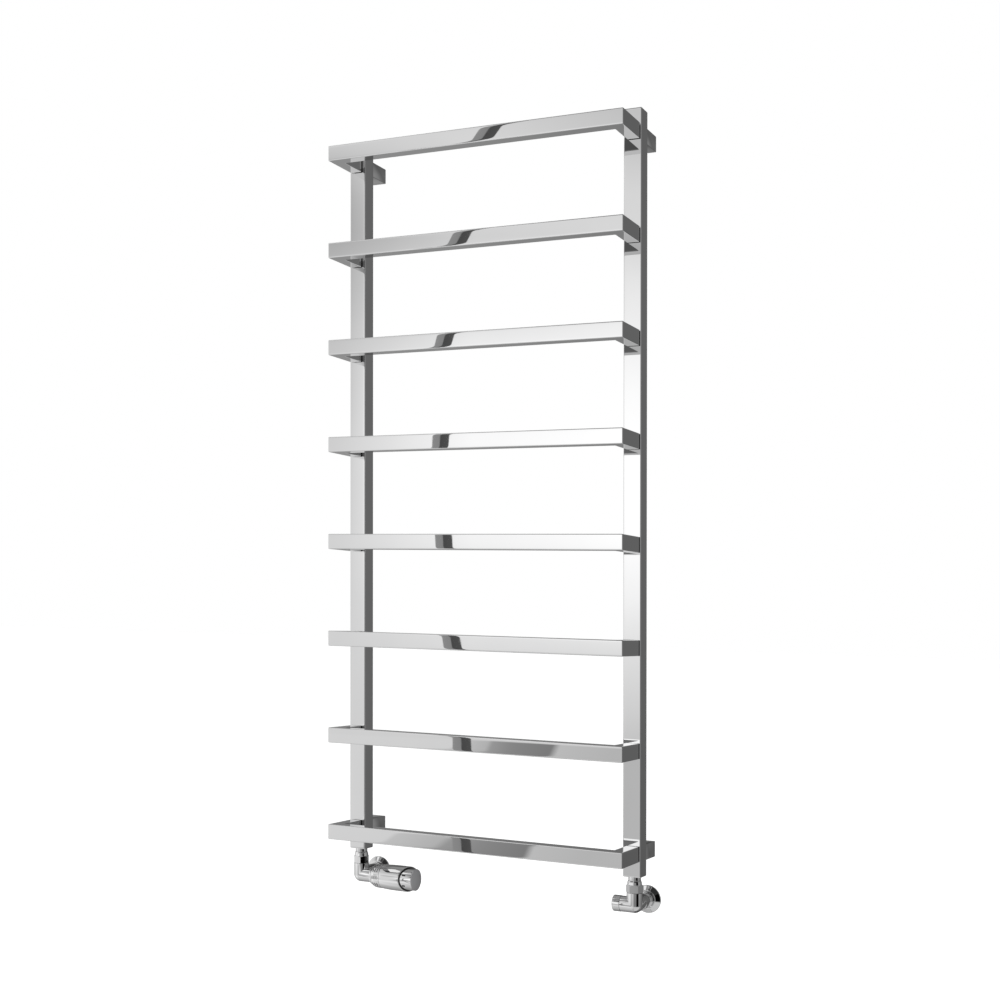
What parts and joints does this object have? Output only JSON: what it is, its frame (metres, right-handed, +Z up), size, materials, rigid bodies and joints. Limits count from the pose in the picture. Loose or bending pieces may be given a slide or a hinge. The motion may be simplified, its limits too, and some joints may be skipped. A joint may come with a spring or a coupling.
{
  "type": "ladder towel radiator",
  "caption": "Ladder towel radiator of square chrome tubes with U-shaped rails, wall brackets, a thermostatic corner valve at its left foot and a lockshield corner valve at its right foot.",
  "frame": {"origin": "on the wall plane, midway between the uprights, level with their lower ends", "axes": "+Z up, +X to the right for a person who faces the radiator, +Y from the radiator into the wall"},
  "size_m": [0.543, 0.1477, 1.268],
  "materials": {
    "chrome": "polished plating",
    "steel": "bright zinc plated",
    "brass": "machined",
    "rubber": "matt",
    "black_plastic": "satin",
    "white_plastic": "moulded",
    "grey_plastic": "satin"
  },
  "bodies": {
    "radiator": {"air_vent_plug": "chrome", "blank_plug": "chrome", "bracket_bottom_left": "chrome", "bracket_bottom_right": "chrome", "bracket_top_left": "chrome", "bracket_top_right": "chrome", "grub_screw_bottom_left": "steel", "grub_screw_bottom_right": "steel", "grub_screw_top_left": "steel", "grub_screw_top_right": "steel", "left_foot": "chrome", "left_top_cap": "chrome", "left_upright": "chrome", "lockshield_body": "chrome", "lockshield_gland_nut": "brass", "lockshield_pipe": "chrome", "lockshield_pipe_cover": "chrome", "lockshield_pipe_nut": "brass", "lockshield_tailpiece": "chrome", "lockshield_union_nut": "chrome", "rail_1": "chrome", "rail_2": "chrome", "rail_3": "chrome", "rail_4": "chrome", "rail_5": "chrome", "rail_6": "chrome", "rail_7": "chrome", "rail_8": "chrome", "right_foot": "chrome", "right_top_cap": "chrome", "right_upright": "chrome", "thermo_body": "chrome", "thermo_collar": "chrome", "thermo_insert": "brass", "thermo_lock_nut": "brass", "thermo_mouth_ring": "black_plastic", "thermo_pipe": "chrome", "thermo_pipe_cover": "chrome", "thermo_pipe_nut": "brass", "thermo_sleeve": "chrome", "thermo_spring": "steel", "thermo_tailpiece": "chrome", "thermo_union_nut": "chrome", "wall_stud_bottom_left": "steel", "wall_stud_bottom_right": "steel", "wall_stud_top_left": "steel", "wall_stud_top_right": "steel"},
    "thermo_handle": {"thermo_handle": "chrome", "thermo_end_disc": "grey_plastic"},
    "thermo_sensor": {"thermo_sensor": "white_plastic"},
    "thermo_spindle": {"thermo_spindle": "steel", "thermo_washer": "rubber"},
    "lockshield_cap": {"lockshield_cap": "chrome"},
    "lockshield_spindle": {"lockshield_spindle": "brass"},
    "lockshield_plug": {"lockshield_plug": "brass"},
    "bleed_screw": {"bleed_screw": "brass"},
    "thermo_wall_flange": {"thermo_wall_flange": "chrome"},
    "lockshield_wall_flange": {"lockshield_wall_flange": "chrome"}
  },
  "joints": [
    {"name": "thermo_handle_turn", "type": "hinge", "parent": "radiator", "child": "thermo_handle", "pos_m": [-0.24875, -0.06, -0.0452], "axis": [1, 0, 0], "range_deg": [-150, 150]},
    {"name": "thermo_sensor_slide", "type": "slide", "parent": "radiator", "child": "thermo_sensor", "axis": [1, 0, 0], "range_m": [-0.0015, 0.0015]},
    {"name": "thermo_spindle_slide", "type": "slide", "parent": "radiator", "child": "thermo_spindle", "axis": [1, 0, 0], "range_m": [-0.0015, 0.0015], "deforming": ["thermo_spring"]},
    {"name": "lockshield_cap_pull", "type": "slide", "parent": "radiator", "child": "lockshield_cap", "axis": [-1, 0, 0], "range_m": [0, 0.03]},
    {"name": "lockshield_spindle_turn", "type": "hinge", "parent": "radiator", "child": "lockshield_spindle", "pos_m": [0.24875, -0.06, -0.0452], "axis": [-1, 0, 0], "range_deg": [-720, 720]},
    {"name": "lockshield_plug_slide", "type": "slide", "parent": "radiator", "child": "lockshield_plug", "axis": [-1, 0, 0], "range_m": [-0.002, 0.002]},
    {"name": "bleed_screw_turn", "type": "hinge", "parent": "radiator", "child": "bleed_screw", "pos_m": [-0.24875, -0.046, 1.1875], "axis": [0, 1, 0], "range_deg": [0, 360]},
    {"name": "thermo_wall_flange_slide", "type": "slide", "parent": "radiator", "child": "thermo_wall_flange", "axis": [0, -1, 0], "range_m": [0, 0.02]},
    {"name": "lockshield_wall_flange_slide", "type": "slide", "parent": "radiator", "child": "lockshield_wall_flange", "axis": [0, -1, 0], "range_m": [0, 0.02]}
  ],
  "couplings": [
    {"joint": "thermo_handle_turn", "follows": "thermo_sensor_slide", "rad_per_m": 1745.3},
    {"joint": "thermo_spindle_slide", "follows": "thermo_sensor_slide", "ratio": 1},
    {"joint": "lockshield_spindle_turn", "follows": "lockshield_plug_slide", "rad_per_m": 6283.2}
  ]
}
